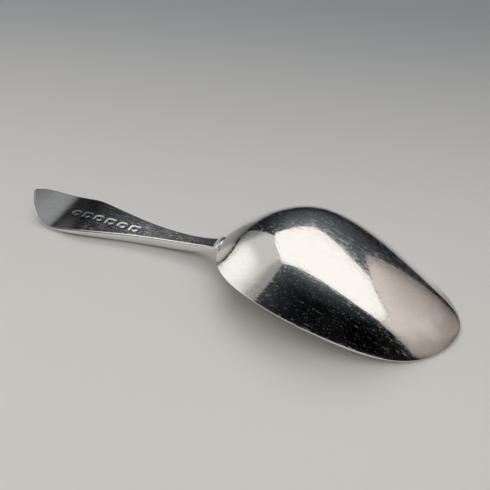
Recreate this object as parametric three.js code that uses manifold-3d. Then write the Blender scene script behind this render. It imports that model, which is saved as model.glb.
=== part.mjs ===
// Silver caddy spoon, modelled bowl down, as it lies on a table.
// Millimetres, +Z up, the lip of the bowl towards +X and the handle towards -X.
import * as THREE from 'three';
import { mergeVertices } from 'three/addons/utils/BufferGeometryUtils.js';
import Module from 'manifold-3d';

// Bowl outline, seen from above, from the heel at x = 0 to the lip
const bowlLength = 46;
const bowlHalfWidth = 14.2;
const widestFromHeel = 21.1;
const heelSquareness = 11.28;
const heelTurn = 13.71;
const lipSquareness = 1.7;
const lipTurn = 1.4;

// Edge of the bowl, seen from the side: it swells behind the heel, dips to the table and lifts at the lip
const heelLift = 4.55;
const swellLift = 9.97;
const swellFromHeel = 18.3;
const dipLift = -2.3;
const dipFromLip = 12.8;
const lipLift = 0.1;

// Crest of the bowl over that edge: a climb from the heel, a round crown and a long fall to the lip
const crownHeight = 9.6;
const crownFromHeel = 18;
const heelRun = 4.6;
const heelClimb = 5.6;
const crownRunToHeel = 4.8;
const crownRunToLip = 8.6;
const lipRun = 6.5;
const lipClimb = 4.1;

// Section of the bowl: a lightly arched back that turns down into the wall. The turn is placed as a share
// of the half width, from the heel, where the section is a round ridge, over the middle to the lip.
const heelWallPlace = 0.15;
const middleWallPlace = 0.9;
const lipWallPlace = 0.6;
const wallEase = 0.23;
const backArch = 0.05;
const lipArch = 0.17;

// Sheet and filed edge of the bowl
const sheetThickness = 0.95;
const edgeHeight = 0.3;
const heelEdgeWidth = 1.3;
const lipEdgeWidth = 1.6;

// Handle outline, seen from above
const handleLength = 44.5;
const jointHalfWidth = 1.67;
const neckHalfWidth = 1.36;
const neckFromJoint = 4.1;
const neckRun = 15.3;
const shoulderHalfWidth = 5.53;
const shoulderFromTip = 10;
const shoulderRun = 5.4;
const shoulderTurn = 1.5;
const pointTurn = 2.4;
const pointSquareness = 6.8;
const pointHalfWidth = 0.12;

// Handle, seen from the side: a cranked neck, a straight stretch and an end that turns up
const crankLength = 17.9;
const crankStart = 4.75;
const crankSlope = 0.4;
const crankEnd = 6.1;
const straightFall = 0.58;
const turnLength = 14.25;
const turnRise = 3.28;
const turnStart = 6.9;
const turnEnd = 4.8;
const tipSlope = 1.375;
const turnDip = 0.96;

// Handle metal
const stemThickness = 2.2;
const stemThickestFromJoint = 11;
const stemTaper = 12;
const endThickness = 0.78;
const thinFromTip = 6.5;
const endTaper = 2;
const jointThickness = 1.7;
const arris = 0.28;
const lapUnderHeel = 1.2;

// Solder in the corner between the neck and the heel
const solderLength = 3.9;
const solderWidth = 3.9;
const solderHeight = 1.7;
const solderSetback = 0.55;
const solderRaise = -0.1;
const solderTilt = 44;

// Gap that parts keep where one is soldered to the other
const seat = 0.3;

// Mesh fineness
const rimSteps = 28;
const domeRings = 17;
const insideRings = 13;
const crankSteps = 12;
const straightSteps = 14;
const turnSteps = 24;

const silver = { color: 0xd9d7d2, metalness: 1 };

const stemDrop = endThickness + turnDip;

// Height over x of a line made of curves whose x runs one way
function curvesAt(curves, x) {
  const side = Math.sign(curves[0].v3.x - curves[0].v0.x);
  const curve = curves.find((c) => (c.v3.x - x) * side >= 0) ?? curves[curves.length - 1];
  let low = 0;
  let high = 1;
  for (let i = 0; i < 40; i++) {
    const middle = (low + high) / 2;
    if ((curve.getPoint(middle).x - x) * side < 0) low = middle;
    else high = middle;
  }
  return curve.getPoint((low + high) / 2).y;
}

function planCurve(...points) {
  return new THREE.CubicBezierCurve(...points.map(([x, y]) => new THREE.Vector2(x, y)));
}

// Closed mesh through rings of equally many points, with a pole or a flat cap at each end
function loftRings(rings, startPole, endPole) {
  const count = rings[0].length;
  const positions = [];
  const index = [];
  for (const point of rings.flat()) positions.push(...point);
  for (let r = 0; r + 1 < rings.length; r++) {
    for (let i = 0; i < count; i++) {
      const a = r * count + i;
      const b = r * count + ((i + 1) % count);
      index.push(a, b, a + count, b, b + count, a + count);
    }
  }
  const last = (rings.length - 1) * count;
  const start = positions.length / 3;
  positions.push(...startPole, ...endPole);
  for (let i = 0; i < count; i++) {
    const next = (i + 1) % count;
    index.push(start, next, i, start + 1, last + i, last + next);
  }
  const geometry = new THREE.BufferGeometry();
  geometry.setAttribute('position', new THREE.Float32BufferAttribute(positions, 3));
  geometry.setIndex(index);
  return geometry;
}

function ringCentre(ring) {
  const sum = ring.reduce((total, p) => total.map((v, k) => v + p[k]), [0, 0, 0]);
  return sum.map((v) => v / ring.length);
}

// Bowl

const bowlOutline = [
  planCurve([0, 0], [0, heelSquareness], [heelTurn, bowlHalfWidth], [widestFromHeel, bowlHalfWidth]),
  planCurve(
    [widestFromHeel, bowlHalfWidth],
    [bowlLength - lipTurn, bowlHalfWidth],
    [bowlLength, lipSquareness],
    [bowlLength, 0],
  ),
];

const bowlCrest = [
  planCurve(
    [0, 0],
    [heelRun, heelClimb],
    [crownFromHeel - crownRunToHeel, crownHeight],
    [crownFromHeel, crownHeight],
  ),
  planCurve(
    [crownFromHeel, crownHeight],
    [crownFromHeel + crownRunToLip, crownHeight],
    [bowlLength - lipRun, lipClimb],
    [bowlLength, 0],
  ),
];

const edgeCurve = planCurve(
  [0, heelLift],
  [swellFromHeel, swellLift],
  [bowlLength - dipFromLip, dipLift],
  [bowlLength, lipLift],
);
const edgeLowest = Math.min(...edgeCurve.getPoints(200).map((p) => p.y));

// Height of the bowl's edge over the table, which its lowest point touches
function edgeHeightAt(x) {
  return curvesAt([edgeCurve], x) - edgeLowest;
}

// Value at x of something that changes evenly from the heel over the middle to the lip
function alongBowl(x, heel, middle, lip) {
  const t = x / bowlLength;
  return heel * (1 - t) ** 2 + 2 * middle * t * (1 - t) + lip * t ** 2;
}

// Fall of the section from the crest, as a share of its whole fall
function sectionFall(x, across) {
  const arch = alongBowl(x, backArch, backArch, lipArch);
  const place = alongBowl(x, heelWallPlace, middleWallPlace, lipWallPlace);
  const bend = (a) => Math.hypot(a - place, wallEase) + Math.hypot(a + place, wallEase);
  return arch * across ** 2 + (1 - arch) * (bend(across) - bend(0)) / (bend(1) - bend(0));
}

// Rise of the dome over the edge at a point of the plan, as a share of the crown's height
function domeShare(x, y) {
  const inPlan = THREE.MathUtils.clamp(x, 0, bowlLength);
  const across = Math.min(Math.abs(y) / Math.max(curvesAt(bowlOutline, inPlan), 1e-6), 1);
  return curvesAt(bowlCrest, inPlan) / crownHeight * (1 - sectionFall(inPlan, across));
}

// Edge points once round the bowl, from the heel along +Y to the lip and back
function edgeLoop() {
  const half = bowlOutline.flatMap((curve, i) => curve.getSpacedPoints(rimSteps).slice(i));
  const back = half.slice(1, -1).reverse().map((p) => new THREE.Vector2(p.x, -p.y));
  return [...half, ...back];
}

// Width of the filed edge, wider where the wall slopes at the heel and the lip
function edgeWidthAt(point) {
  const heelShare = Math.max(0, 1 - point.x / widestFromHeel) ** 4;
  const lipShare = Math.max(0, (point.x - widestFromHeel) / (bowlLength - widestFromHeel)) ** 4;
  return sheetThickness
    + (heelEdgeWidth - sheetThickness) * heelShare
    + (lipEdgeWidth - sheetThickness) * lipShare;
}

function towardsCentre(point, distance) {
  const centre = new THREE.Vector2(crownFromHeel, 0);
  return point.clone().add(centre.sub(point).setLength(distance));
}

// Rings of one face of the bowl, from the crown to the edge
function domeRingsOf(count, inset, depth, lift, reach) {
  const loop = edgeLoop();
  const rings = [];
  for (let r = 1; r <= count; r++) {
    const share = Math.sin((Math.PI / 2) * (r / count));
    rings.push(loop.map((edge) => {
      const rim = towardsCentre(edge, inset(edge) - reach);
      const x = crownFromHeel + (rim.x - crownFromHeel) * share;
      const y = rim.y * share;
      const outerX = crownFromHeel + (edge.x - crownFromHeel) * share;
      const rise = r === count ? 0 : domeShare(outerX, edge.y * share) * depth;
      return [x, y, edgeHeightAt(x) + lift + rise];
    }));
  }
  return rings;
}

function crownPole(depth, lift) {
  return [crownFromHeel, 0, edgeHeightAt(crownFromHeel) + lift + domeShare(crownFromHeel, 0) * depth];
}

// One raised sheet: outer face, narrow upright edge, filed edge and inner face
function bowlGeometry() {
  const outerDepth = crownHeight - edgeHeight;
  const innerDepth = crownHeight - sheetThickness;
  const outer = domeRingsOf(domeRings, () => 0, outerDepth, edgeHeight, 0);
  const foot = outer[outer.length - 1].map(([x, y, z]) => [x, y, z - edgeHeight]);
  const inner = domeRingsOf(insideRings, edgeWidthAt, innerDepth, 0, 0).reverse();
  return loftRings([...outer, foot, ...inner], crownPole(outerDepth, edgeHeight), crownPole(innerDepth, 0));
}

// Filled bowl, grown by the seat, that cuts the solder
function bowlCutter() {
  const depth = crownHeight - edgeHeight;
  const outer = domeRingsOf(domeRings, () => 0, depth, edgeHeight + seat, seat);
  const foot = outer[outer.length - 1].map(([x, y, z]) => [x, y, z - edgeHeight - crownHeight]);
  return loftRings([...outer, foot], crownPole(depth, edgeHeight + seat), ringCentre(foot));
}

// Handle

const shoulderX = shoulderFromTip - handleLength;
const handleOutline = [
  planCurve(
    [lapUnderHeel, jointHalfWidth],
    [0, jointHalfWidth],
    [-neckFromJoint / 2, neckHalfWidth],
    [-neckFromJoint, neckHalfWidth],
  ),
  planCurve(
    [-neckFromJoint, neckHalfWidth],
    [-neckFromJoint - neckRun, neckHalfWidth],
    [shoulderX + shoulderRun, shoulderHalfWidth],
    [shoulderX, shoulderHalfWidth],
  ),
  planCurve(
    [shoulderX, shoulderHalfWidth],
    [shoulderX - shoulderTurn, shoulderHalfWidth],
    [pointTurn - handleLength, pointSquareness],
    [-handleLength, pointHalfWidth],
  ),
];

// Top face of the handle, seen from the side as x and z, from the joint to the tip
function handleProfile() {
  const straightEnd = turnLength - handleLength;
  const slope = straightFall / (straightEnd + crankLength);
  const low = new THREE.Vector2(straightEnd, stemDrop);
  const high = new THREE.Vector2(-crankLength, stemDrop + straightFall);
  const joint = new THREE.Vector2(lapUnderHeel, edgeHeightAt(lapUnderHeel) - seat);
  const tip = new THREE.Vector2(-handleLength, stemDrop + turnRise);
  const crank = new THREE.CubicBezierCurve(
    joint,
    joint.clone().add(new THREE.Vector2(-crankStart, -crankStart * crankSlope)),
    high.clone().add(new THREE.Vector2(crankEnd, -crankEnd * slope)),
    high,
  );
  const turn = new THREE.CubicBezierCurve(
    low,
    low.clone().add(new THREE.Vector2(-turnStart, turnStart * slope)),
    tip.clone().add(new THREE.Vector2(turnEnd, -turnEnd * tipSlope)),
    tip,
  );
  return { crank, straight: new THREE.LineCurve(high, low), turn };
}

// Thickness of the handle, as x and thickness, from the joint to the tip
const handleThickness = [
  planCurve(
    [lapUnderHeel, jointThickness],
    [-stemThickestFromJoint / 3, jointThickness],
    [-stemThickestFromJoint / 1.5, stemThickness],
    [-stemThickestFromJoint, stemThickness],
  ),
  planCurve(
    [-stemThickestFromJoint, stemThickness],
    [-stemThickestFromJoint - stemTaper, stemThickness],
    [thinFromTip - handleLength + endTaper, endThickness],
    [thinFromTip - handleLength, endThickness],
  ),
];

// Points and upward normals of the top face's middle line, closer together near the tip
function handleStations() {
  const { crank, straight, turn } = handleProfile();
  const stations = [];
  const add = (curve, t) => {
    const along = curve.getTangent(t);
    stations.push({ point: curve.getPoint(t), normal: new THREE.Vector2(along.y, -along.x) });
  };
  for (let i = 0; i < crankSteps; i++) add(crank, i / crankSteps);
  for (let i = 0; i < straightSteps; i++) add(straight, i / straightSteps);
  for (let i = 0; i <= turnSteps; i++) add(turn, Math.sin((Math.PI / 2) * (i / turnSteps)));
  return stations;
}

// Section of the handle: a flat strip whose four long edges are eased
function handleSection({ point, normal }) {
  const half = curvesAt(handleOutline, point.x);
  const thick = curvesAt(handleThickness, point.x);
  const ease = Math.min(arris, half / 2, thick / 3);
  const corners = [
    [half - ease, 0], [half - ease * 0.3, ease * 0.3], [half, ease], [half, thick - ease],
    [half - ease * 0.3, thick - ease * 0.3], [half - ease, thick],
  ];
  const mirrored = [...corners].reverse().map(([y, depth]) => [-y, depth]);
  return [...corners, ...mirrored].map(([y, depth]) => [
    point.x - normal.x * depth, y, point.y - normal.y * depth,
  ]);
}

function handleGeometry() {
  const rings = handleStations().map(handleSection);
  return loftRings(rings, ringCentre(rings[0]), ringCentre(rings[rings.length - 1]));
}

// Everything below the handle's top face, raised by the seat, that cuts the solder
function stemCutter() {
  const rings = handleStations().slice(0, crankSteps).map(({ point, normal }) => {
    const up = [point.x + normal.x * seat, point.y + normal.y * seat];
    const down = [up[0] - normal.x * solderWidth, up[1] - normal.y * solderWidth];
    return [
      [up[0], solderWidth, up[1]], [down[0], solderWidth, down[1]],
      [down[0], -solderWidth, down[1]], [up[0], -solderWidth, up[1]],
    ];
  });
  return loftRings(rings, ringCentre(rings[0]), ringCentre(rings[rings.length - 1]));
}

// Solder

const wasm = await Module();
wasm.setup();

function solidFrom(geometry) {
  const bare = geometry.clone();
  for (const name of Object.keys(bare.attributes)) {
    if (name !== 'position') bare.deleteAttribute(name);
  }
  const merged = mergeVertices(bare, 1e-5);
  return new wasm.Manifold(new wasm.Mesh({
    numProp: 3,
    vertProperties: Float32Array.from(merged.attributes.position.array),
    triVerts: Uint32Array.from(merged.index.array),
  }));
}

function geometryFrom(solid) {
  const mesh = solid.getMesh();
  const geometry = new THREE.BufferGeometry();
  geometry.setAttribute('position', new THREE.BufferAttribute(new Float32Array(mesh.vertProperties), 3));
  geometry.setIndex(new THREE.BufferAttribute(new Uint32Array(mesh.triVerts), 1));
  return geometry;
}

// A drop of solder with the bowl and the neck cut out of it
function solderGeometry() {
  const drop = new THREE.SphereGeometry(0.5, 28, 20);
  drop.scale(solderLength, solderWidth, solderHeight);
  drop.rotateY(THREE.MathUtils.degToRad(-solderTilt));
  drop.translate(-solderSetback, 0, edgeHeightAt(0) + solderRaise);
  const fillet = solidFrom(drop).subtract(solidFrom(bowlCutter())).subtract(solidFrom(stemCutter()));
  return geometryFrom(fillet);
}

function piece(name, geometry, roughness) {
  geometry.computeVertexNormals();
  const mesh = new THREE.Mesh(geometry, new THREE.MeshStandardMaterial({ ...silver, roughness }));
  mesh.name = name;
  return mesh;
}

const group = new THREE.Group();
group.add(piece('bowl', bowlGeometry(), 0.08));
group.add(piece('handle', handleGeometry(), 0.12));
group.add(piece('solder_joint', solderGeometry(), 0.35));
group.position.x = -new THREE.Box3().setFromObject(group).getCenter(new THREE.Vector3()).x;

export default group;
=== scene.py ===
"""Silver caddy spoon, lying bowl down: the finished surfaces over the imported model."""

import math

import bpy
import numpy as np
from bpy.props import FloatProperty, FloatVectorProperty, IntProperty, PointerProperty
from bpy.types import Operator, Panel, PropertyGroup
from mathutils import Euler, Matrix, Vector

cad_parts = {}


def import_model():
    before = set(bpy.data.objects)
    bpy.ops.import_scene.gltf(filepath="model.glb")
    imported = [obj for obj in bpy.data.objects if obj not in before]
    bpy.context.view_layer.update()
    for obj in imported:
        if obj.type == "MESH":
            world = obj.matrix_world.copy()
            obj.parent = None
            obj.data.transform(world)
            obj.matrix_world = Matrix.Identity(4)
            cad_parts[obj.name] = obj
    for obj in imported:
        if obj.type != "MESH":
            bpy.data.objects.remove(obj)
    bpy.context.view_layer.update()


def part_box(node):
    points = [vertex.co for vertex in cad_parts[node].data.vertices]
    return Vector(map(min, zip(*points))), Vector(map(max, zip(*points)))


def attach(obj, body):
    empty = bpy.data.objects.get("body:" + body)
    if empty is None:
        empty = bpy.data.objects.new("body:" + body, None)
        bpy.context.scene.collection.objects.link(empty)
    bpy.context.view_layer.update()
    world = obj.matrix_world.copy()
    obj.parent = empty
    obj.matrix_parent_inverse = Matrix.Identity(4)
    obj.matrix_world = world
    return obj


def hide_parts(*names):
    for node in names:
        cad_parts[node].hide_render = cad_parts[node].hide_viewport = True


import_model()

bl_info = {
    "name": "Caddy Spoon",
    "version": (1, 0, 0),
    "blender": (4, 5, 0),
    "location": "View3D > Sidebar > Spoon",
    "description": "Builds a silver caddy spoon that lies bowl down",
    "category": "Mesh",
}

MM = 0.001
HEEL_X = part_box("bowl")[0][0]
BODY = "root"

# Turns of the camera and of the light tent, in radians
VIEW_TURN = 0.391
VIEW_TILT = 0.757
TENT_TURN = -0.244

# Millimetres to the right of the heel, away from it and up, as the camera sees them
CAMERA_PLACE = (4.479, -74.94, 74.96)
AIM = (10, 0, 0)

# Focal length of the photograph and the width of its frame
FOCAL_PIXELS = 524.8
FRAME_PIXELS = 490

# Places along the spoon, from the heel, for the painted dark reflections at the lip and at the end and for
# the end's dulling, and how far their borders stray from them
LIP_REFLECTION_STRETCH = (36 * MM, 46 * MM)
END_REFLECTION_STRETCH = (-13 * MM, -36 * MM, -42 * MM)
END_DULLING = (-28 * MM, -42 * MM)
REFLECTION_AND_DULLING_WANDER = 2.5 * MM

# Middle of the painted dark reflection on the bowl beside the joint, from the heel, and its half size
HEEL_REFLECTION_MIDDLE = (3.6 * MM, -1 * MM, 8.5 * MM)
HEEL_REFLECTION_REACH = (5.5 * MM, 3 * MM, 5.5 * MM)

# Roughness that the scratches add, and how deep they and the hammer marks are
BOWL_WEAR = 0.25
HANDLE_WEAR = 0.07
SCRATCH_DEPTH = 0.003 * MM
SOLDER_SCRATCH_DEPTH = 0.015 * MM
PLANISH_DEPTH = 0.004 * MM

# Turn of each set of scratches, how its noise is drawn out, and between which values a line shows
SCRATCHES = (
    (0.15, (480, 7000, 800), (0.61, 0.73)),
    (-0.5, (520, 7500, 900), (0.64, 0.75)),
    (1.1, (520, 7500, 900), (0.67, 0.78)),
)

# Fade of the table away from the camera, with its slant to the right: painted shade, darker where the table
# gets less light
FADE = (-60 * MM, 170 * MM)
FADE_SLANT = 0.2

# Fineness of the meshes
OUTLINE_STEPS = 150
BACK_RINGS = 120
INSIDE_RINGS = 80
STRAIGHT_STEPS = 400
HANDLE_STEPS = 460
HANDLE_COLUMNS = 81
SOLDER_RINGS = 40
SOLDER_COLUMNS = 64
TENT_STEPS = (60, 40)

# Gap that keeps the bowl off the table, rounding of its edge, and a length that counts as none
LIFT_OFF_TABLE = 0.001 * MM
EDGE_CORNER = 0.13 * MM
TINY = 1e-9

# Outlines of the marks, from nearly square to nearly oval
FIELD_SQUARENESS = (6, 2.4, 6, 3, 6, 2.4)

# Where the slope starts at a mark's border and round its devices, and how wide it is, in half marks
FIELD_BORDER = (0.82, 0.16)
PELLET_BORDER = (0.3, 0.2)
LOZENGE_BORDER = (0.42, 0.2)
DEVICE_RISE = 0.8


def size(name, description, millimetres):
    """A length that a user can change, given in millimetres."""
    return FloatProperty(
        name=name, description=description, default=millimetres * MM, unit="LENGTH", precision=5)


def share(name, description, value):
    return FloatProperty(name=name, description=description, default=value, precision=3)


def tint(name, description, value):
    return FloatVectorProperty(
        name=name, description=description, default=value, subtype="COLOR", size=3, min=0, max=1)


class BowlSize(PropertyGroup):
    length: size("Length", "Heel to lip", 46)
    half_width: size("Half width", "Middle to edge where the bowl is widest", 14.2)
    widest: size("Widest from heel", "Distance from the heel to the widest place", 21.1)
    heel_squareness: size("Heel squareness", "How far the outline runs across at the heel", 11.28)
    heel_turn: size("Heel turn", "How far the outline runs along beside the heel", 13.71)
    lip_squareness: size("Lip squareness", "How far the outline runs across at the lip", 1.7)
    lip_turn: size("Lip turn", "How far the outline runs along beside the lip", 1.4)
    heel_lift: size("Heel lift", "Edge height at the heel", 4.55)
    swell_lift: size("Swell lift", "Pull on the edge behind the heel", 9.97)
    swell: size("Swell from heel", "Place of that pull", 18.3)
    dip_lift: size("Dip lift", "Pull on the edge before the lip", -2.3)
    dip: size("Dip from lip", "Place of that pull", 12.8)
    lip_lift: size("Lip lift", "Edge height at the lip", 0.1)
    crown: size("Crown height", "Crown over the edge", 9.598)
    crown_from_heel: size("Crown from heel", "Distance from the heel to the crown", 18)
    heel_run: size("Heel run", "How far the first climb of the crest runs along", 4.6)
    heel_climb: size("Heel climb", "How steeply the crest leaves the heel", 5.6)
    crown_to_heel: size("Crown run to heel", "How far the crown stays level towards the heel", 4.8)
    crown_to_lip: size("Crown run to lip", "How far the crown stays level towards the lip", 8.6)
    lip_run: size("Lip run", "Length of the fall to the lip", 6.5)
    lip_climb: size("Lip climb", "Height that this fall starts from", 4.1)
    heel_wall: share("Wall at heel", "Place where the section turns down, in half widths", 0.15)
    middle_wall: share("Wall in middle", "The same in the middle of the bowl", 0.9)
    lip_wall: share("Wall at lip", "The same at the lip", 0.6)
    wall_ease: share("Wall easing", "Softness of that turn, in half widths", 0.23)
    back_arch: share("Back arch", "Share of the fall that is a plain arch", 0.05)
    lip_arch: share("Lip arch", "The same at the lip", 0.17)
    sheet: size("Sheet", "Thickness of the metal", 0.95)
    edge: size("Edge height", "Upright part of the filed edge", 0.3)
    roll: size("Edge roll", "How far the back swells beside the edge", 0.1)
    roll_width: size("Roll width", "Distance from the edge to the top of that swelling", 0.5)
    heel_edge: size("Edge at heel", "Width of the filed edge at the heel", 1.3)
    lip_edge: size("Edge at lip", "Width of the filed edge at the lip", 1.6)


class HandleSize(PropertyGroup):
    length: size("Length", "Heel of the bowl to the tip", 44.5)
    lap: size("Lap", "How far the neck reaches under the heel", 1.2)
    seat: size("Seat", "Depth of the neck's top face under the edge of the bowl", 0.02)
    joint_half: size("Half width at joint", "Middle to edge at the solder", 1.67)
    neck_half: size("Half width of neck", "Middle to edge at the narrowest place", 1.36)
    neck: size("Neck from joint", "Distance to the narrowest place", 4.1)
    neck_run: size("Neck run", "How long the neck stays narrow", 15.3)
    shoulder_half: size("Half width of end", "Middle to edge at the broadest place", 5.53)
    shoulder: size("Shoulder from tip", "Distance from the tip to the broadest place", 10)
    shoulder_run: size("Shoulder run", "How long the end stays broad towards the neck", 5.4)
    shoulder_turn: size("Shoulder turn", "How long it stays broad towards the tip", 1.5)
    point_turn: size("Point turn", "Length over which the point forms", 2.4)
    point_square: size("Point squareness", "Half width that the point draws from", 6.8)
    point_half: size("Half width of point", "Middle to edge at the tip", 0.12)
    crank: size("Crank length", "Length of the raised neck", 17.9)
    crank_start: size("Crank start", "Pull of the slope at the joint", 4.75)
    crank_slope: share("Crank slope", "Slope at the joint", 0.4)
    crank_end: size("Crank end", "Pull of the slope at the straight stretch", 6.1)
    fall: size("Straight fall", "Fall along the straight stretch", 0.58)
    turn: size("Turn length", "Length of the turned end", 14.25)
    turn_rise: size("Turn rise", "Height of the tip over the straight stretch's end", 3.28)
    turn_start: size("Turn start", "Pull of the slope where the turn begins", 6.9)
    turn_end: size("Turn end", "Pull of the slope at the tip", 4.8)
    tip_slope: share("Tip slope", "Slope at the tip", 1.375)
    dip: size("Turn dip", "Height that the turn sinks by before it rises", 0.96)
    thickness: size("Thickness", "Thickest place of the stem", 2.2)
    thickest: size("Thickest from joint", "Distance to the thickest place", 11)
    taper: size("Stem taper", "Length over which the stem stays thick", 12)
    end_thickness: size("End thickness", "Thickness of the turned end", 0.78)
    thin: size("Thin from tip", "Distance from the tip to where the end is thinnest", 6.5)
    end_taper: size("End taper", "Length over which the end stays thin", 2)
    joint_thickness: size("Joint thickness", "Thickness at the solder", 1.7)
    arris: size("Arris", "Rounding of the long edges", 0.28)


class MarkSize(PropertyGroup):
    first: size("First mark", "Distance from the heel to the mark nearest the bowl", 19.8)
    pitch: size("Pitch", "Distance between marks", 3.05)
    aside: size("Aside", "Distance from the middle line to the first mark's middle", 0.75)
    count: IntProperty(name="Marks", description="Number of plain marks in the row", default=6, min=0)
    width: size("Width", "Width of a mark along the handle", 2.4)
    height: size("Height", "Height of a mark across the handle", 2.1)
    depth: size("Depth", "Depth of the struck field", 0.08)


class SolderSize(PropertyGroup):
    length: size("Length", "Length of the run of solder up the heel", 3.9)
    width: size("Width", "Width across the neck", 3.9)
    height: size("Height", "Thickness of the drop", 1.4)
    setback: size("Setback", "Distance from the heel to its middle", 0.55)
    sink: size("Sink", "Depth of its middle under the edge of the bowl", 0.3)
    tilt: FloatProperty(
        name="Tilt", description="Slope of the drop", default=math.radians(44), subtype="ANGLE")


class SilverLook(PropertyGroup):
    colour: tint("Silver", "Colour of polished silver", (0.93, 0.915, 0.885))
    worn: tint("Worn silver", "Colour where the polish has yellowed", (0.86, 0.83, 0.78))
    solder: tint("Solder", "Colour of the solder", (0.88, 0.86, 0.82))
    # Painted dark reflection: the colour that the upward faces of the lip are painted
    lip_painted_reflection: tint("Lip painted reflection", "Colour of the painted dark reflection at the lip", (0.42, 0.4, 0.37))
    # Painted dark reflection beside the joint at the heel
    joint_painted_reflection: tint("Joint painted reflection", "Colour of the painted dark reflection beside the joint", (0.38, 0.39, 0.4))
    # Painted dark reflections on the upward faces of the handle's end, where it turns and at its tip
    turn_painted_reflection: tint("Bend painted reflection", "Colour of the silver where the end turns", (0.17, 0.176, 0.184))
    end_painted_reflection: tint("End painted reflection", "Colour of the silver at the tip", (0.25, 0.263, 0.273))
    end_dull: share("Dulling of the end", "Roughness added towards the tip", 0.2)
    smooth: share("Polish", "Roughness of the best polished places", 0.04)
    dull: share("Dulling", "Roughness of the handled places", 0.11)
    solder_smooth: share("Solder polish", "Roughness of the solder's smoothest places", 0.12)
    solder_dull: share("Solder dulling", "Roughness of its dullest places", 0.3)


class StageLook(PropertyGroup):
    near: tint("Near floor", "Colour of the table round the spoon", (0.815, 0.795, 0.77))
    # The far colour is painted shade: the table's colour where it gets less light
    far: tint("Far floor", "Colour of the table's far side", (0.275, 0.293, 0.308))
    beyond: tint("Beyond", "Colour of what lies beyond the table", (0.24, 0.25, 0.26))
    reach: size("Reach", "Half the side of the table", 1000)
    lamps: share("Lamps", "Brightness of the lamps over the table", 0.61)
    fill: share("Fill", "Brightness of the light from all round", 0.24)
    fill_tint: tint("Fill tint", "Colour of that light", (1, 0.95, 0.9))


# Curves

def bezier(*points, steps=4000):
    """Points along a cubic curve through its first and last control point."""
    a, b, c, d = (np.array(p, float) for p in points)
    t = np.linspace(0, 1, steps + 1)[:, None]
    return a * (1 - t) ** 3 + 3 * b * (1 - t) ** 2 * t + 3 * c * (1 - t) * t ** 2 + d * t ** 3


def joined(*curves):
    return np.vstack([curves[0]] + [curve[1:] for curve in curves[1:]])


def height_at(curve, x):
    """Second value of a curve over its first, which runs one way."""
    if curve[0, 0] > curve[-1, 0]:
        curve = curve[::-1]
    return np.interp(x, curve[:, 0], curve[:, 1])


def evenly(curve, count):
    """count + 1 points at equal distances along a curve."""
    run = np.concatenate([[0], np.cumsum(np.linalg.norm(np.diff(curve, axis=0), axis=1))])
    at = np.linspace(0, run[-1], count + 1)
    return np.column_stack([np.interp(at, run, curve[:, k]) for k in range(curve.shape[1])])


def step_up(x, width):
    """0 below zero, 1 above width, smooth between."""
    t = np.clip(x / width, 0, 1)
    return t * t * (3 - 2 * t)


# Meshes

def loft(name, rings, start, end):
    """Closed smooth mesh through rings of equally many points, with a pole at each end."""
    rows, count = rings.shape[:2]
    points = np.vstack([rings.reshape(-1, 3), [start], [end]])
    points[:, 0] += HEEL_X
    grid = np.arange(rows * count).reshape(rows, count)
    after = np.roll(grid, -1, axis=1)
    quads = np.stack([grid[:-1], after[:-1], after[1:], grid[1:]], axis=-1).reshape(-1, 4)
    first, last = rows * count, rows * count + 1
    caps = [(first, b, a) for a, b in zip(grid[0], after[0])]
    caps += [(last, a, b) for a, b in zip(grid[-1], after[-1])]
    mesh = bpy.data.meshes.new(name)
    mesh.from_pydata(points.tolist(), [], quads.tolist() + [tuple(map(int, c)) for c in caps])
    mesh.validate()
    mesh.polygons.foreach_set("use_smooth", [True] * len(mesh.polygons))
    mesh.update()
    return mesh


def piece(mesh, node, material):
    """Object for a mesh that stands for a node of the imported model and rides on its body."""
    obj = bpy.data.objects.new(mesh.name, mesh)
    bpy.context.scene.collection.objects.link(obj)
    mesh.materials.append(material)
    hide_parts(node)
    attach(obj, BODY)


# Bowl

def bowl_outline(bowl):
    """Half the outline of the bowl, heel to lip."""
    widest = (bowl.widest, bowl.half_width)
    return joined(
        bezier((0, 0), (0, bowl.heel_squareness), (bowl.heel_turn, bowl.half_width), widest),
        bezier(widest, (bowl.length - bowl.lip_turn, bowl.half_width),
               (bowl.length, bowl.lip_squareness), (bowl.length, 0)),
    )


def bowl_edge(bowl):
    """Edge of the bowl from the side, over the table that its lowest point touches."""
    edge = bezier((0, bowl.heel_lift), (bowl.swell, bowl.swell_lift),
                  (bowl.length - bowl.dip, bowl.dip_lift), (bowl.length, bowl.lip_lift))
    edge[:, 1] += LIFT_OFF_TABLE - edge[:, 1].min()
    return edge


def bowl_crest(bowl):
    """Crest of the bowl over its edge, from the heel over the crown to the lip."""
    crown = (bowl.crown_from_heel, bowl.crown)
    return joined(
        bezier((0, 0), (bowl.heel_run, bowl.heel_climb),
               (crown[0] - bowl.crown_to_heel, bowl.crown), crown),
        bezier(crown, (crown[0] + bowl.crown_to_lip, bowl.crown),
               (bowl.length - bowl.lip_run, bowl.lip_climb), (bowl.length, 0)),
    )


def along_bowl(bowl, x, heel, middle, lip):
    """Value at x of something that changes evenly from the heel over the middle to the lip."""
    t = x / bowl.length
    return heel * (1 - t) ** 2 + 2 * middle * t * (1 - t) + lip * t ** 2


def section_fall(bowl, x, across):
    """Fall of the section from the crest, as a share of its whole fall."""
    arch = along_bowl(bowl, x, bowl.back_arch, bowl.back_arch, bowl.lip_arch)
    place = along_bowl(bowl, x, bowl.heel_wall, bowl.middle_wall, bowl.lip_wall)

    def bend(a):
        return np.hypot(a - place, bowl.wall_ease) + np.hypot(a + place, bowl.wall_ease)

    return arch * across ** 2 + (1 - arch) * (bend(across) - bend(0)) / (bend(1) - bend(0))


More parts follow.
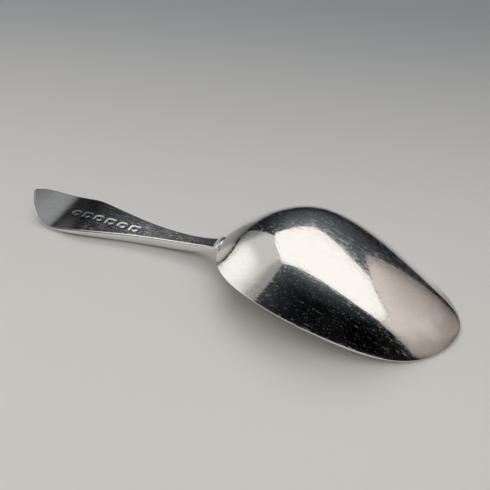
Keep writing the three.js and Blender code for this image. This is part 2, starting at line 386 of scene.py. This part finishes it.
def dome_share(bowl, outline, crest, x, y):
    """Rise of the dome over the edge, as a share of the crown's height."""
    x = np.clip(x, 0, bowl.length)
    across = np.clip(np.abs(y) / np.maximum(height_at(outline, x), TINY), 0, 1)
    return height_at(crest, x) / bowl.crown * (1 - section_fall(bowl, x, across))


def edge_width(bowl, x):
    """Width of the filed edge, which is the sheet's own thickness where the bowl is widest."""
    heel = np.clip(1 - x / bowl.widest, 0, 1) ** 4
    lip = np.clip((x - bowl.widest) / (bowl.length - bowl.widest), 0, 1) ** 4
    return bowl.sheet + (bowl.heel_edge - bowl.sheet) * heel + (bowl.lip_edge - bowl.sheet) * lip


def edge_roll(bowl, x, inside):
    """Swelling of the back beside its edge, from the burnishing: none at the heel, less at the lip."""
    start, growth = 6 * MM, 10 * MM
    fade_start, fade, share_lost = bowl.length - 14 * MM, 12 * MM, 0.7
    share_there = step_up(x - start, growth) - share_lost * step_up(x - fade_start, fade)
    reach = inside / bowl.roll_width
    return bowl.roll * share_there * reach * np.exp(1 - reach)


def bowl_face(bowl, count, inset, depth, lift, rolled=False):
    """Rings of one face of the bowl from the crown to the edge.

    inset says how far its rim lies inside the outline, depth is its rise and lift its height there.
    """
    outline, edge, crest = bowl_outline(bowl), bowl_edge(bowl), bowl_crest(bowl)
    half = evenly(outline, OUTLINE_STEPS)
    loop = np.vstack([half, half[-2:0:-1] * (1, -1)])
    centre = np.array([bowl.crown_from_heel, 0])
    inward = centre - loop
    inward /= np.linalg.norm(inward, axis=1)[:, None]
    rim = loop + inward * np.broadcast_to(inset(loop[:, 0]), len(loop))[:, None]
    rings = []
    # The sine draws the rings closer together towards the edge
    for part in np.sin(np.pi / 2 * np.arange(1, count + 1) / count):
        at = centre + (rim - centre) * part
        outer = centre + (loop - centre) * part
        rise = dome_share(bowl, outline, crest, outer[:, 0], outer[:, 1]) if part < 1 else 0
        z = height_at(edge, at[:, 0]) + lift + rise * depth
        if rolled:
            z = z + edge_roll(bowl, at[:, 0], np.linalg.norm(loop - outer, axis=1))
        rings.append(np.column_stack([at, np.broadcast_to(z, len(at))]))
    return rings


def filed_edge(bowl, outer, inner):
    """Rings round the edge of the sheet, its outer corner slightly rounded."""
    foot = outer - (0, 0, bowl.edge)
    across = inner - foot
    corner = across * EDGE_CORNER / np.linalg.norm(across[:, :2], axis=1)[:, None]
    rings = [outer - (0, 0, bowl.edge / 2)]
    for turn in np.radians((15, 45, 75)):
        rise = (0, 0, EDGE_CORNER * (1 - math.sin(turn)))
        rings.append(foot + corner * (1 - math.cos(turn)) + rise)
    return rings + [foot + across * part for part in (0.3, 0.5, 0.7)]


def bowl_mesh(bowl):
    """Back, filed edge and inside of the bowl as one closed skin."""
    outer_rise, inner_rise = bowl.crown - bowl.edge, bowl.crown - bowl.sheet
    outer = bowl_face(bowl, BACK_RINGS, lambda x: 0 * x, outer_rise, bowl.edge, rolled=True)
    inner = bowl_face(bowl, INSIDE_RINGS, lambda x: edge_width(bowl, x), inner_rise, 0)[::-1]
    rings = np.array(outer + filed_edge(bowl, outer[-1], inner[0]) + inner)
    base = float(height_at(bowl_edge(bowl), bowl.crown_from_heel))
    poles = [(bowl.crown_from_heel, 0, base + z) for z in (outer_rise + bowl.edge, inner_rise)]
    return loft("silver_bowl", rings, *poles)


# Handle

def handle_outline(handle):
    """Half the outline of the handle, joint to tip."""
    shoulder = (handle.shoulder - handle.length, handle.shoulder_half)
    neck = (-handle.neck, handle.neck_half)
    return joined(
        bezier((handle.lap, handle.joint_half), (0, handle.joint_half),
               (-handle.neck / 2, handle.neck_half), neck),
        bezier(neck, (-handle.neck - handle.neck_run, handle.neck_half),
               (shoulder[0] + handle.shoulder_run, handle.shoulder_half), shoulder),
        bezier(shoulder, (shoulder[0] - handle.shoulder_turn, handle.shoulder_half),
               (handle.point_turn - handle.length, handle.point_square),
               (-handle.length, handle.point_half)),
    )


def handle_profile(handle, joint_height):
    """Middle line of the top face, as x and z, from the joint to the tip."""
    drop = handle.end_thickness + handle.dip
    low = np.array([handle.turn - handle.length, drop])
    high = np.array([-handle.crank, drop + handle.fall])
    slope = -handle.fall / (low[0] + handle.crank)
    joint = np.array([handle.lap, joint_height])
    tip = np.array([-handle.length, drop + handle.turn_rise])
    straight = low + (high - low) * np.linspace(1, 0, STRAIGHT_STEPS + 1)[:, None]
    return joined(
        bezier(joint, joint - np.array([1, handle.crank_slope]) * handle.crank_start,
               high + np.array([1, slope]) * handle.crank_end, high),
        straight,
        bezier(low, low - np.array([1, slope]) * handle.turn_start,
               tip + np.array([1, -handle.tip_slope]) * handle.turn_end, tip),
    )


def handle_thickness(handle):
    """Thickness of the handle from the joint to where its end is thinnest."""
    thickest = (-handle.thickest, handle.thickness)
    thin = (handle.thin - handle.length, handle.end_thickness)
    return joined(
        bezier((handle.lap, handle.joint_thickness), (-handle.thickest / 3, handle.joint_thickness),
               (-handle.thickest / 1.5, handle.thickness), thickest),
        bezier(thickest, (-handle.thickest - handle.taper, handle.thickness),
               (thin[0] + handle.end_taper, handle.end_thickness), thin),
    )


def handle_mesh(handle, marks, joint_height):
    """Sections of the handle set square to its middle line, with the marks struck into the top face."""
    profile = evenly(handle_profile(handle, joint_height), HANDLE_STEPS)
    along = np.gradient(profile, axis=0)
    along /= np.linalg.norm(along, axis=1)[:, None]
    normal = np.column_stack([along[:, 1], -along[:, 0]])
    half = height_at(handle_outline(handle), profile[:, 0])
    thick = height_at(handle_thickness(handle), profile[:, 0])
    rings = []
    for point, up, wide, deep in zip(profile, normal, half, thick):
        across, down = handle_section(wide, deep, min(handle.arris, wide / 2, deep / 3))
        on_top = down < TINY
        down = down + mark_relief(marks, point[0], across) * on_top
        rings.append(np.column_stack([point[0] - up[0] * down, across, point[1] - up[1] * down]))
    return loft("silver_handle", np.array(rings), rings[0].mean(axis=0), rings[-1].mean(axis=0))


def handle_section(wide, deep, ease):
    """Section of the handle, as distances across and down from its top face."""
    turn = np.radians([0, 18, 36, 54, 72, 90])
    flat = np.linspace(-1, 1, HANDLE_COLUMNS) * (wide - ease)
    side = wide - ease + ease * np.sin(turn)
    top = ease * (1 - np.cos(turn))
    across = np.concatenate([flat, side[1:], side[::-1], flat[::-4], -side[1:], -side[::-1][:-1]])
    down = np.concatenate([0 * flat, top[1:], deep - top[::-1], deep + 0 * flat[::4],
                           deep - top[1:], top[::-1][:-1]])
    return across, down


def slope_down(reach, border):
    """1 inside a border, 0 outside it."""
    start, width = border
    return 1 - step_up(reach - start, width)


def struck_field(u, v, squareness):
    """1 inside the outline of a mark, which is an oval at squareness 2 and nearly a square at 6."""
    reach = (abs(u) ** squareness + np.abs(v) ** squareness) ** (1 / squareness)
    return slope_down(reach, FIELD_BORDER)


def raised_device(u, v, pellet):
    """1 on the pellet or lozenge in the middle of a mark."""
    if pellet:
        return slope_down(np.hypot(u, v), PELLET_BORDER)
    return slope_down(abs(u) + np.abs(v), LOZENGE_BORDER)


def mark_relief(marks, x, across):
    """Depth of the struck marks below the top face: plain fields, each with a raised device."""
    depth = np.zeros_like(across)
    for i in range(marks.count):
        u = (x + marks.first + marks.pitch * i) / (marks.width / 2)
        if abs(u) > 1:
            continue
        aside = marks.aside * (1 - i / max(marks.count - 1, 1))
        v = (across + aside) / (marks.height / 2)
        field = struck_field(u, v, FIELD_SQUARENESS[i % len(FIELD_SQUARENESS)])
        depth += marks.depth * (field - DEVICE_RISE * raised_device(u, v, pellet=i % 2 == 1))
    return depth


# Solder

def solder_mesh(solder, middle_height):
    """A drop of solder whose skin is slightly uneven, run into the corner of the joint."""
    turn = np.linspace(0, 2 * np.pi, SOLDER_COLUMNS, endpoint=False)
    rows = []
    for polar in np.linspace(0, np.pi, SOLDER_RINGS + 2)[1:-1]:
        way = np.column_stack([np.sin(polar) * np.cos(turn), np.sin(polar) * np.sin(turn),
                               np.full_like(turn, np.cos(polar))])
        rows.append(way * solder_swell(way)[:, None])
    rings = np.array(rows)[::-1]
    poles = np.array([(0, 0, -1.0), (0, 0, 1.0)])
    place = Matrix.Translation((-solder.setback, 0, middle_height))
    place = np.array(place @ Euler((0, -solder.tilt, 0)).to_matrix().to_4x4())
    scale = np.array([solder.length, solder.width, solder.height]) / 2

    def put(points):
        return (points * scale) @ place[:3, :3].T + place[:3, 3]

    return loft("solder_run", put(rings), *put(poles))


def solder_swell(way):
    """Uneven skin of the drop, always within its ellipsoid."""
    x, y, z = way.T
    waves = np.sin(5 * x + 2 * y + 1) + np.sin(7 * y - 3 * z) + np.sin(6 * z + 4 * x + 2)
    pits = np.sin(17 * x + 3) * np.sin(19 * y + 1) * np.sin(13 * z)
    mean, unevenness = 0.93, 0.015
    return mean + unevenness * (waves - np.clip(pits, 0, 1))


# Materials

def node(tree, kind, **settings):
    """New node with its sockets and settings given by name."""
    made = tree.nodes.new(kind)
    for name, value in settings.items():
        if name in made.inputs:
            made.inputs[name].default_value = value
        else:
            setattr(made, name, value)
    return made


class Surface:
    """Node material whose patterns lie on the object's own coordinates."""

    def __init__(self, name):
        self.material = bpy.data.materials.new(name)
        self.material.use_nodes = True
        self.tree = self.material.node_tree
        self.shader = self.tree.nodes["Principled BSDF"].inputs
        self.coordinates = node(self.tree, "ShaderNodeTexCoord").outputs

    def link(self, source, socket):
        self.tree.links.new(source, socket)

    def noise(self, scale, detail, drawn_out=None, turn=0.0):
        source = self.coordinates["Object"]
        if drawn_out:
            mapping = node(self.tree, "ShaderNodeMapping", Rotation=(0, 0, turn), Scale=drawn_out)
            self.link(source, mapping.inputs["Vector"])
            source = mapping.outputs["Vector"]
        made = node(self.tree, "ShaderNodeTexNoise", Scale=scale, Detail=detail)
        self.link(source, made.inputs["Vector"])
        return made.outputs["Fac"]

    def ramp(self, source, low, high, low_value, high_value, blend="LINEAR"):
        """Value that goes from low_value to high_value while the source goes from low to high."""
        made = node(self.tree, "ShaderNodeMapRange", interpolation_type=blend)
        for key, value in zip(("From Min", "From Max", "To Min", "To Max"),
                              (low, high, low_value, high_value)):
            made.inputs[key].default_value = value
        self.link(source, made.inputs["Value"])
        return made.outputs["Result"]

    def combined(self, one, other, operation):
        """Sum, maximum or the like of two values."""
        both = node(self.tree, "ShaderNodeMath", operation=operation)
        self.link(one, both.inputs[0])
        self.link(other, both.inputs[1])
        return both.outputs[0]

    def vector_maths(self, source, operand, operation, result="Vector"):
        """Operation on a vector and, where it takes one, a plain operand."""
        made = node(self.tree, "ShaderNodeVectorMath", operation=operation)
        self.link(source, made.inputs[0])
        if operand is not None:
            made.inputs[1].default_value = operand
        return made.outputs[result]

    def part_of(self, source, axis):
        parts = node(self.tree, "ShaderNodeSeparateXYZ")
        self.link(source, parts.inputs[0])
        return parts.outputs[axis]

    def laid_over(self, below, above, share_of_above):
        """One colour over another; each is a plain colour or the output of a node."""
        mix = node(self.tree, "ShaderNodeMix", data_type="RGBA")
        for key, value in (("A", below), ("B", above)):
            if isinstance(value, bpy.types.NodeSocket):
                self.link(value, mix.inputs[key])
            else:
                mix.inputs[key].default_value = (*value, 1)
        self.link(share_of_above, mix.inputs["Factor"])
        return mix.outputs["Result"]

    def bump(self, height, distance, below=None):
        """Normal of a relief that is distance deep, over the relief below it."""
        made = node(self.tree, "ShaderNodeBump", Strength=1, Distance=distance)
        self.link(height, made.inputs["Height"])
        if below is not None:
            self.link(below, made.inputs["Normal"])
        return made.outputs["Normal"]


def along_spoon(surface):
    """Place along the spoon, made uneven so that no painted reflection or dulling ends in a straight line.
    """
    blotches = surface.noise(scale=130, detail=4)
    wander = surface.ramp(blotches, 0.3, 0.7, -REFLECTION_AND_DULLING_WANDER, REFLECTION_AND_DULLING_WANDER)
    return surface.combined(surface.part_of(surface.coordinates["Object"], "X"), wander, "ADD")


def painted_dark_reflection(surface, skin, clean, shades, stretch):
    """Painted dark reflection on the faces that look up: clean silver at the stretch's first place, then
    each shade at its own.
    """
    start, end = stretch[0], stretch[-1]
    spread = node(surface.tree, "ShaderNodeValToRGB")
    reached = surface.ramp(along_spoon(surface), HEEL_X + start, HEEL_X + end, 0, 1)
    surface.link(reached, spread.inputs["Fac"])
    spread.color_ramp.interpolation = "EASE"
    stops = spread.color_ramp.elements
    stops[0].color, stops[1].color = (*clean, 1), (*shades[-1], 1)
    for at, shade in zip(stretch[1:-1], shades[:-1]):
        stops.new((at - start) / (end - start)).color = (*shade, 1)
    upward = surface.ramp(surface.part_of(surface.coordinates["Normal"], "Z"), 0.2, 0.5, 0, 1)
    return surface.laid_over(skin, spread.outputs["Color"], upward)


def painted_heel_reflection(surface, skin, heel_reflection):
    """Ragged painted dark reflection on the bowl beside the joint."""
    middle = Vector(HEEL_REFLECTION_MIDDLE) + Vector((HEEL_X, 0, 0))
    apart = surface.vector_maths(surface.coordinates["Object"], middle, "SUBTRACT")
    scaled = surface.vector_maths(apart, HEEL_REFLECTION_REACH, "DIVIDE")
    reach = surface.vector_maths(scaled, None, "LENGTH", "Value")
    raggedness = surface.ramp(surface.noise(scale=300, detail=4), 0.3, 0.7, -0.15, 0.15)
    ragged = surface.combined(reach, raggedness, "ADD")
    return surface.laid_over(skin, heel_reflection, surface.ramp(ragged, 0.55, 1.1, 1, 0, "SMOOTHSTEP"))


def scratches(surface):
    """Fine lines that cross each other, 1 where they lie."""
    lines = None
    for turn, drawn_out, shown in SCRATCHES:
        grain = surface.noise(scale=1, detail=2, drawn_out=drawn_out, turn=turn)
        line = surface.ramp(grain, *shown, 0, 1)
        lines = line if lines is None else surface.combined(lines, line, "MAXIMUM")
    return lines


def silver(name, colour, worn, polish, wear, scratch=SCRATCH_DEPTH,
           reflection_shades=(), stretch=(), dulling=None, heel_reflection=None):
    """Hand polished silver with scratches, specks, soft dulling, a faint warm cast and, where given,
    painted dark reflections.

    polish holds the roughness of the best and of the dullest places, and wear what the scratches add.
    dulling holds the two places between which the metal grows rougher, and by how much.
    """
    surface = Surface(name)
    surface.shader["Metallic"].default_value = 1
    yellowing = surface.noise(scale=160, detail=5)
    skin = surface.laid_over(colour, worn, surface.ramp(yellowing, 0.5, 0.72, 0, 0.6))
    # Painted dark reflections: on the upward faces along a stretch, and a patch beside the joint
    if reflection_shades:
        skin = painted_dark_reflection(surface, skin, colour, reflection_shades, stretch)
    if heel_reflection:
        skin = painted_heel_reflection(surface, skin, heel_reflection)
    surface.link(skin, surface.shader["Base Color"])

    lines = scratches(surface)
    specks = surface.ramp(surface.noise(scale=3300, detail=4), 0.53, 0.69, 0, 0.8)
    marred = surface.ramp(surface.combined(lines, specks, "MAXIMUM"), 0, 1, 0, wear)
    dulled = surface.ramp(surface.noise(scale=420, detail=6), 0.35, 0.7, *polish)
    if dulling:
        (first, last), most = dulling
        grown = surface.ramp(along_spoon(surface), HEEL_X + first, HEEL_X + last, 0, most)
        dulled = surface.combined(dulled, grown, "ADD")
    surface.link(surface.combined(dulled, marred, "ADD"), surface.shader["Roughness"])

    hammered = surface.noise(scale=900, detail=5)
    relief = surface.bump(hammered, PLANISH_DEPTH, below=surface.bump(lines, scratch))
    surface.link(relief, surface.shader["Normal"])
    return surface.material


def floor_material(look):
    """Plain matt table that turns darker and cooler towards its far right side, in painted shade."""
    surface = Surface("matt_table")
    surface.shader["Roughness"].default_value = 0.85
    surface.shader["Specular IOR Level"].default_value = 0.15
    away = Vector((FADE_SLANT, 1, 0))
    away.rotate(Euler((0, 0, VIEW_TURN)))
    distance = surface.vector_maths(surface.coordinates["Object"], away, "DOT_PRODUCT", "Value")
    fade = surface.ramp(distance, *FADE, 0, 1, "SMOOTHSTEP")
    surface.link(surface.laid_over(look.near, look.far, fade), surface.shader["Base Color"])
    return surface.material


def glow_material(name, colour):
    """Plain glow whose strength comes from the mesh's own light values."""
    material = bpy.data.materials.new(name)
    material.use_nodes = True
    tree = material.node_tree
    tree.nodes.remove(tree.nodes["Principled BSDF"])
    level = node(tree, "ShaderNodeAttribute", attribute_name="light")
    glow = node(tree, "ShaderNodeEmission", Color=(*colour, 1))
    tree.links.new(level.outputs["Fac"], glow.inputs["Strength"])
    tree.links.new(glow.outputs[0], tree.nodes["Material Output"].inputs["Surface"])
    return material


# Operators

class SPOON_OT_bowl(Operator):
    """Raise the bowl"""
    bl_idname = "spoon.bowl"
    bl_label = "Bowl"

    def execute(self, context):
        look = context.scene.spoon_silver
        # The bowl's lip and the heel beside the joint carry painted dark reflections
        material = silver("polished_bowl", look.colour, look.worn, (look.smooth, look.dull), BOWL_WEAR,
                          reflection_shades=[look.lip_painted_reflection], stretch=LIP_REFLECTION_STRETCH, heel_reflection=look.joint_painted_reflection)
        piece(bowl_mesh(context.scene.spoon_bowl), "bowl", material)
        return {"FINISHED"}


class SPOON_OT_handle(Operator):
    """Forge the handle and strike its plain marks"""
    bl_idname = "spoon.handle"
    bl_label = "Handle"

    def execute(self, context):
        scene = context.scene
        look, handle = scene.spoon_silver, scene.spoon_handle
        joint = float(height_at(bowl_edge(scene.spoon_bowl), handle.lap)) - handle.seat
        # The handle's end carries painted dark reflections on its upward faces
        material = silver("polished_handle", look.colour, look.worn, (look.smooth, look.dull), HANDLE_WEAR,
                          reflection_shades=[look.turn_painted_reflection, look.end_painted_reflection], stretch=END_REFLECTION_STRETCH,
                          dulling=(END_DULLING, look.end_dull))
        piece(handle_mesh(handle, scene.spoon_marks, joint), "handle", material)
        return {"FINISHED"}


class SPOON_OT_solder(Operator):
    """Run the solder into the joint"""
    bl_idname = "spoon.solder"
    bl_label = "Solder"

    def execute(self, context):
        scene = context.scene
        look, solder = scene.spoon_silver, scene.spoon_solder
        middle = float(height_at(bowl_edge(scene.spoon_bowl), 0.0)) - solder.sink
        material = silver("solder_skin", look.solder, look.worn, (look.solder_smooth, look.solder_dull),
                          BOWL_WEAR, SOLDER_SCRATCH_DEPTH)
        piece(solder_mesh(solder, middle), "solder_joint", material)
        return {"FINISHED"}


class SPOON_OT_stage(Operator):
    """Set the table, the lights and the camera"""
    bl_idname = "spoon.stage"
    bl_label = "Table, lights and camera"

    def execute(self, context):
        scene = context.scene
        table(scene)
        lights(scene)
        camera(scene)
        return {"FINISHED"}


# Stage

def from_view(x, y, z, turn=0.0):
    """A place in the row frame from millimetres to the right, away and up as the camera sees them."""
    turned = Vector((x, y, z)) * MM
    turned.rotate(Euler((0, 0, VIEW_TURN + turn)))
    return turned + Vector((HEEL_X, 0, 0))


def table(scene):
    """Plain square table under the spoon."""
    look = scene.spoon_stage
    r = look.reach
    mesh = bpy.data.meshes.new("table_top")
    mesh.from_pydata([(-r, -r, 0), (r, -r, 0), (r, r, 0), (-r, r, 0)], [], [(0, 1, 2, 3)])
    mesh.materials.append(floor_material(look))
    obj = bpy.data.objects.new("table_top", mesh)
    scene.collection.objects.link(obj)


def camera(scene):
    """Camera in the place that the photograph was taken from."""
    data = bpy.data.cameras.new("view")
    data.sensor_width = 36
    data.lens = data.sensor_width * FOCAL_PIXELS / FRAME_PIXELS
    data.clip_start = 5 * MM
    obj = bpy.data.objects.new("view", data)
    obj.location = from_view(*CAMERA_PLACE)
    obj.rotation_euler = (math.pi / 2 - VIEW_TILT, 0, VIEW_TURN)
    scene.collection.objects.link(obj)
    scene.camera = obj


def lamp(scene, name, centre, width, height, strength):
    """Soft panel light aimed at the spoon, as bright as strength, which the metal doesn't mirror."""
    data = bpy.data.lights.new(name, "AREA")
    data.shape = "RECTANGLE"
    data.size, data.size_y = width * MM, height * MM
    data.energy = strength * math.pi * data.size * data.size_y
    obj = bpy.data.objects.new(name, data)
    obj.location = from_view(*centre)
    obj.rotation_euler = (from_view(*AIM) - obj.location).to_track_quat("-Z", "Y").to_euler()
    obj.visible_glossy = False
    scene.collection.objects.link(obj)


def mirrored(scene, name, corners, colour, light):
    """A flat part of the tent that only polished metal shows, as bright as light says at each place."""
    a, b, c, d = (np.array(corner, float) for corner in corners)
    across, up = np.meshgrid(*(np.linspace(0, 1, steps + 1) for steps in TENT_STEPS))
    s, t = across.reshape(-1, 1), up.reshape(-1, 1)
    places = (a * (1 - s) + b * s) * (1 - t) + (d * (1 - s) + c * s) * t
    grid = np.arange(len(places)).reshape(across.shape)
    quads = np.stack([grid[:-1, :-1], grid[:-1, 1:], grid[1:, 1:], grid[1:, :-1]], axis=-1)
    mesh = bpy.data.meshes.new(name)
    points = [from_view(*place, TENT_TURN) for place in places]
    mesh.from_pydata(points, [], quads.reshape(-1, 4).tolist())
    levels = mesh.attributes.new("light", "FLOAT", "POINT")
    levels.data.foreach_set("value", [float(light(*place)) for place in places])
    mesh.materials.append(glow_material(name, colour))
    obj = bpy.data.objects.new(name, mesh)
    obj.visible_camera = obj.visible_diffuse = obj.visible_shadow = False
    scene.collection.objects.link(obj)


def patch(x, y, middle, half, hardness):
    """1 in the middle of a patch of light, fading to 0 outside its half width and half height."""
    apart = ((x - middle[0]) / half[0]) ** 2 + ((y - middle[1]) / half[1]) ** 2
    return math.exp(-apart ** hardness)


def roof_light(x, y, z):
    return 1.04


def left_light(x, y, z):
    """A bright patch low down, with a dim front end and a dim far corner."""
    bright = 0.48 * patch(y, z, middle=(-150, 40), half=(330, 165), hardness=4)
    front = 0.27 * patch(y, z, middle=(-480, 250), half=(230, 500), hardness=4)
    corner = 0.34 * patch(y, z, middle=(430, 0), half=(230, 300), hardness=4)
    return 0.56 + bright - front - corner


def right_light(x, y, z):
    """Brightest under the roof, dim low down and towards both ends."""
    by_height = 0.36 + 0.28 * step_up(z - 230, 240)
    back_end = 1 - 0.45 * step_up(y - 590, 180)
    front_end = 1 - 0.3 * step_up(-300 - y, 120)
    return by_height * back_end * front_end


def room_light(x, y, z):
    """The dim room beyond the open ends: lighter higher up, darkest in front where the camera stands.

    rise is the height over the table and turn the direction round it from straight away, in degrees.
    """
    rise = math.degrees(math.atan2(z, math.hypot(x, y)))
    turn = math.degrees(math.atan2(x, y))
    if abs(turn) < 90:
        corner = np.interp(turn, (-50, -38, -25), (0.2, 0.5, 1))
        return corner * np.interp(rise, (0, 10, 30, 45), (0.015, 0.02, 0.1, 0.19))
    front = np.interp(rise, (25, 37, 42, 51), (0.003, 0.045, 0.1, 0.2))
    if abs(turn) > 115:
        haze = np.interp(turn, (-170, -150, -134, 120, 128), (0, 0.012, 0.045, 0.008, 0))
        front = front + haze
    darkest = patch(turn, rise, middle=(148, 17), half=(11, 7), hardness=3)
    return front * (1 - 0.95 * darkest)


def upright(ends, height):
    """Corners of a wall that starts just under the table."""
    (x0, y0), (x1, y1) = ends
    hem = -2
    return [(x0, y0, hem), (x1, y1, hem), (x1, y1, height), (x0, y0, height)]


def tent(scene):
    """The white roof, pale sides and dim open ends that the silver mirrors, in millimetres."""
    white, cream, beige, cool = (1, 0.972, 0.93), (1, 0.98, 0.935), (1, 0.9, 0.845), (0.76, 0.88, 1)
    roof, room = 500, 1600
    left, right, front, back = -458, 783, -377, 500
    plan = ((left, front), (right, front), (right, back), (left, back))
    mirrored(scene, "roof", [(x, y, roof) for x, y in plan], white, roof_light)
    slanted = [(left, -500, 28), (left, 470, 28), (left, 385, roof - 13), (left, -385, roof - 13)]
    mirrored(scene, "left_side", slanted, cream, left_light)
    right_side = upright(((right, -438), (right, 778)), roof - 12)
    mirrored(scene, "right_side", right_side, beige, right_light)
    square = ((-room, -room), (room, -room), (room, room), (-room, room))
    walls = zip(("front", "right_end", "back", "left_end"), zip(square, square[1:] + square[:1]))
    for name, ends in walls:
        mirrored(scene, name, upright(ends, room), cool, room_light)
    mirrored(scene, "dark_roof", [(x, y, room) for x, y in square], cool, room_light)


def world(scene):
    """Grey beyond the table for the camera and the metal, and a weak light from all round."""
    look = scene.spoon_stage
    scene.world = bpy.data.worlds.new("room")
    scene.world.use_nodes = True
    tree = scene.world.node_tree
    links = tree.links
    rays = node(tree, "ShaderNodeLightPath").outputs
    seen = rays["Is Camera Ray"]
    for name in ("Is Glossy Ray", "Is Transmission Ray"):
        both = node(tree, "ShaderNodeMath", operation="MAXIMUM")
        links.new(seen, both.inputs[0])
        links.new(rays[name], both.inputs[1])
        seen = both.outputs[0]
    grey = tree.nodes["Background"]
    grey.inputs["Color"].default_value = (*look.beyond, 1)
    fill = node(tree, "ShaderNodeBackground", Color=(*look.fill_tint, 1), Strength=look.fill)
    mix = node(tree, "ShaderNodeMixShader")
    links.new(seen, mix.inputs["Fac"])
    links.new(fill.outputs[0], mix.inputs[1])
    links.new(grey.outputs[0], mix.inputs[2])
    links.new(mix.outputs[0], tree.nodes["World Output"].inputs["Surface"])


def lights(scene):
    scene.view_settings.view_transform = "Standard"
    world(scene)
    bright = scene.spoon_stage.lamps
    lamp(scene, "overhead", centre=(60, 60, 500), width=1300, height=900, strength=0.95 * bright)
    lamp(scene, "back_window", centre=(-50, 420, 380), width=420, height=170, strength=5.1 * bright)
    lamp(scene, "left_window", centre=(-450, 100, 200), width=600, height=300, strength=0.6 * bright)
    tent(scene)


CLASSES = (BowlSize, HandleSize, MarkSize, SolderSize, SilverLook, StageLook,
           SPOON_OT_bowl, SPOON_OT_handle, SPOON_OT_solder, SPOON_OT_stage)
GROUPS = {
    "spoon_bowl": BowlSize, "spoon_handle": HandleSize, "spoon_marks": MarkSize,
    "spoon_solder": SolderSize, "spoon_silver": SilverLook, "spoon_stage": StageLook,
}


class SPOON_PT_panel(Panel):
    bl_label = "Caddy Spoon"
    bl_space_type = "VIEW_3D"
    bl_region_type = "UI"
    bl_category = "Spoon"

    def draw(self, context):
        for cls in CLASSES:
            if issubclass(cls, Operator):
                self.layout.operator(cls.bl_idname)
        for name, group in GROUPS.items():
            box = self.layout.box()
            box.label(text=group.__name__)
            for key in group.__annotations__:
                box.prop(getattr(context.scene, name), key)


def register():
    for cls in CLASSES + (SPOON_PT_panel,):
        bpy.utils.register_class(cls)
    for name, group in GROUPS.items():
        setattr(bpy.types.Scene, name, PointerProperty(type=group))


def unregister():
    for name in GROUPS:
        delattr(bpy.types.Scene, name)
    for cls in reversed(CLASSES + (SPOON_PT_panel,)):
        bpy.utils.unregister_class(cls)


def main():
    register()
    bpy.ops.spoon.bowl()
    bpy.ops.spoon.handle()
    bpy.ops.spoon.solder()
    bpy.ops.spoon.stage()


if __name__ == "__main__":
    main()
